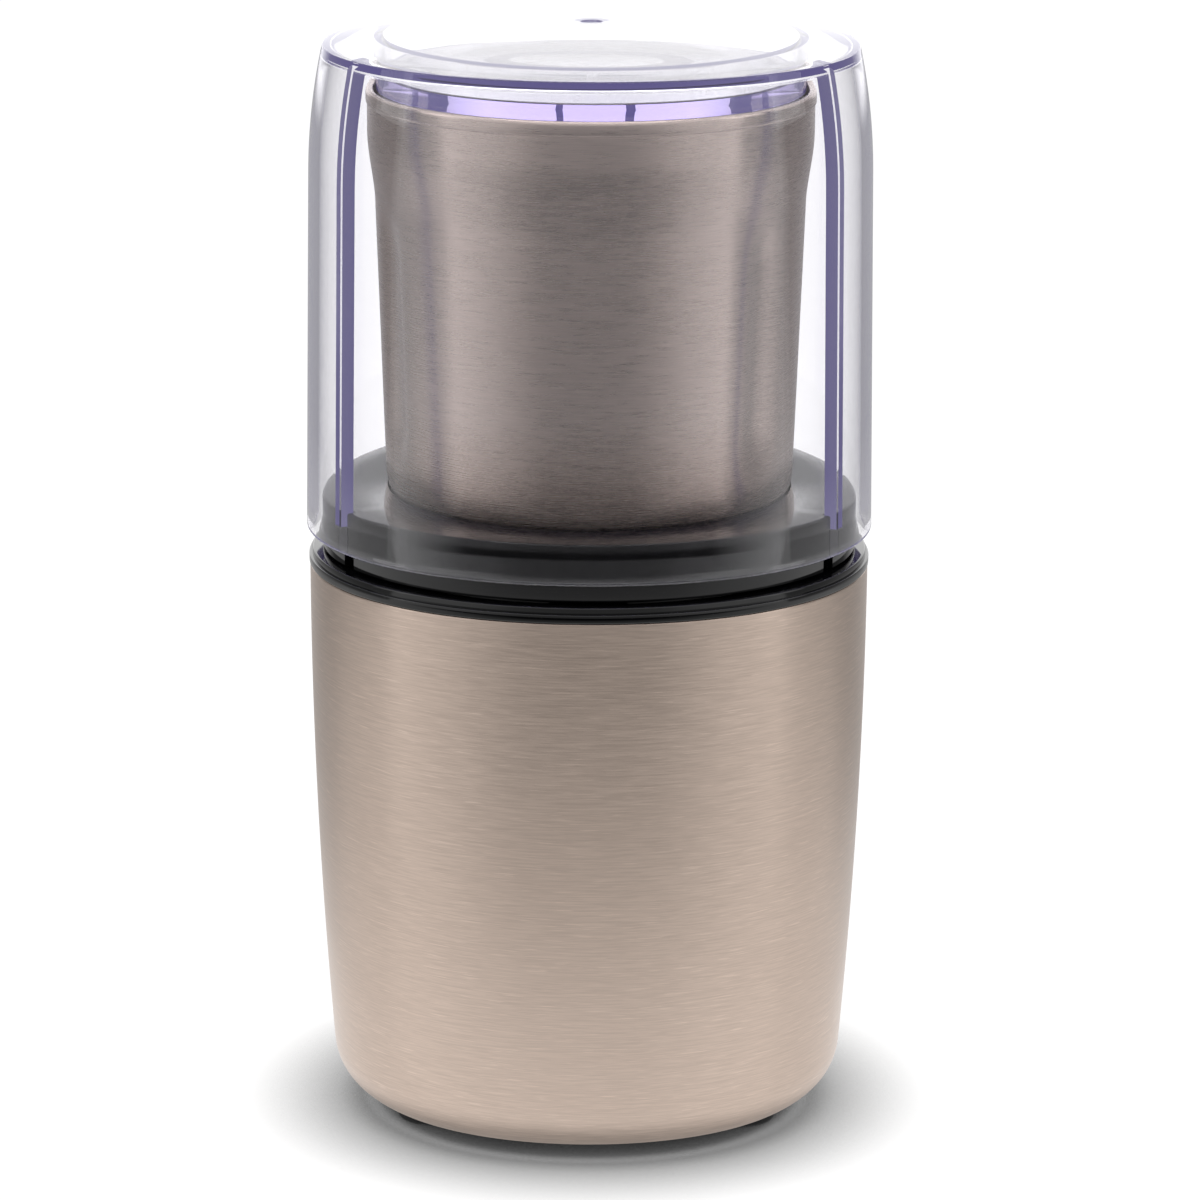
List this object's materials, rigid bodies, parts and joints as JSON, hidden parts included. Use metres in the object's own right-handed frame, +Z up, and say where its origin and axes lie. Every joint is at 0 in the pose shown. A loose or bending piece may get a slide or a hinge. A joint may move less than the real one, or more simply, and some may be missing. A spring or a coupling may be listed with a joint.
{
  "type": "electric spice grinder",
  "caption": "Upright spice grinder: steel motor base, lift-out steel bowl with spinning blade on a twist-lock collar, and a tall clear lid pressed down to run it.",
  "frame": {"origin": "on the table, at the middle of the round body, level with the undersides of the rubber feet", "axes": "+Z up along the motor's axis, -Y towards the front, +X to the right as seen from the front"},
  "size_m": [0.1042, 0.1043, 0.2043],
  "materials": {
    "shell_steel": "fine horizontal brushing",
    "seat_black": "gloss",
    "base_black": "matte",
    "foot_rubber": "matte",
    "screw_steel": "zinc plated",
    "gland_black": "matte",
    "bracket_metal": "die cast",
    "mount_rubber": "matte",
    "lamination_steel": "stacked laminations",
    "coil_copper": "enamelled copper wire",
    "bearing_bronze": "sintered bronze",
    "holder_brown": "matte",
    "carbon": "matte",
    "spring_steel": "polished wire",
    "switch_black": "matte",
    "capacitor_yellow": "satin",
    "shaft_steel": "ground",
    "commutator_copper": "turned copper",
    "fan_grey": "matte",
    "coupling_black": "matte",
    "rod_white": "satin",
    "button_red": "satin",
    "bowl_steel": "fine horizontal brushing",
    "collar_black": "gloss",
    "collar_base_black": "matte",
    "gasket_red": "matte",
    "hub_black": "satin",
    "nut_steel": "polished",
    "pin_black": "gloss",
    "blade_steel": "ground edge",
    "washer_white": "matte",
    "lid_clear": "clear, faint violet tint"
  },
  "bodies": {
    "base": {"steel_shell": "shell_steel", "bowl_seat": "seat_black", "base_plate": "base_black", "rubber_feet": "foot_rubber", "base_screws": "screw_steel", "cord_gland": "gland_black", "upper_bracket": "bracket_metal", "lower_bracket": "bracket_metal", "motor_mounts": "mount_rubber", "mount_screws": "screw_steel", "stator_core": "lamination_steel", "field_coils": "coil_copper", "motor_screws": "screw_steel", "upper_bearing": "bearing_bronze", "lower_bearing": "bearing_bronze", "brush_holders": "holder_brown", "carbon_brushes": "carbon", "brush_springs": "spring_steel", "microswitch": "switch_black", "capacitor": "capacitor_yellow"},
    "rotor": {"motor_shaft": "shaft_steel", "armature_core": "lamination_steel", "armature_windings": "coil_copper", "commutator": "commutator_copper", "cooling_fan": "fan_grey", "drive_coupling": "coupling_black"},
    "switch_plunger": {"switch_rod": "rod_white", "switch_button": "button_red", "switch_spring": "spring_steel"},
    "bush": {"bearing_bush": "bearing_bronze"},
    "bowl": {"grinding_bowl": "bowl_steel", "bowl_collar": "collar_black", "collar_base": "collar_base_black", "collar_screws": "screw_steel", "bowl_gasket": "gasket_red", "bowl_hub": "hub_black", "hub_nut": "nut_steel"},
    "pins": {"push_pins": "pin_black", "pin_springs": "spring_steel"},
    "blade_unit": {"blade": "blade_steel", "blade_shaft": "shaft_steel", "blade_nut": "nut_steel", "thrust_washer": "washer_white", "retaining_ring": "screw_steel", "driven_coupling": "coupling_black"},
    "lid": {"lid": "lid_clear"}
  },
  "joints": [
    {"name": "motor_spin", "type": "hinge", "parent": "base", "child": "rotor", "pos_m": [0, 0, 0.05], "axis": [0, 0, 1], "continuous": true},
    {"name": "bowl_lift", "type": "slide", "parent": "base", "child": "bush", "axis": [0, 0, 1], "range_m": [0, 0.08]},
    {"name": "bowl_twist", "type": "hinge", "parent": "bush", "child": "bowl", "pos_m": [0, 0, 0.104], "axis": [0, 0, -1], "range_deg": [0, 18]},
    {"name": "blade_spin", "type": "hinge", "parent": "bush", "child": "blade_unit", "pos_m": [0, 0, 0.113], "axis": [0, 0, 1], "continuous": true},
    {"name": "lid_press", "type": "slide", "parent": "bowl", "child": "pins", "axis": [0, 0, 1], "range_m": [-0.0035, 0], "stiffness_N_per_m": 1500, "springref_m": 0.004, "deforming": ["pin_springs"]},
    {"name": "lid_lift", "type": "slide", "parent": "pins", "child": "lid", "axis": [0, 0, 1], "range_m": [0, 0.12]},
    {"name": "switch_press", "type": "slide", "parent": "base", "child": "switch_plunger", "axis": [0, 0, 1], "range_m": [-0.0035, 0], "stiffness_N_per_m": 120, "springref_m": 0.002, "deforming": ["switch_spring"]}
  ],
  "couplings": [
    {"joint": "blade_spin", "follows": "motor_spin", "ratio": 1},
    {"joint": "switch_press", "follows": "lid_press", "ratio": 1}
  ]
}
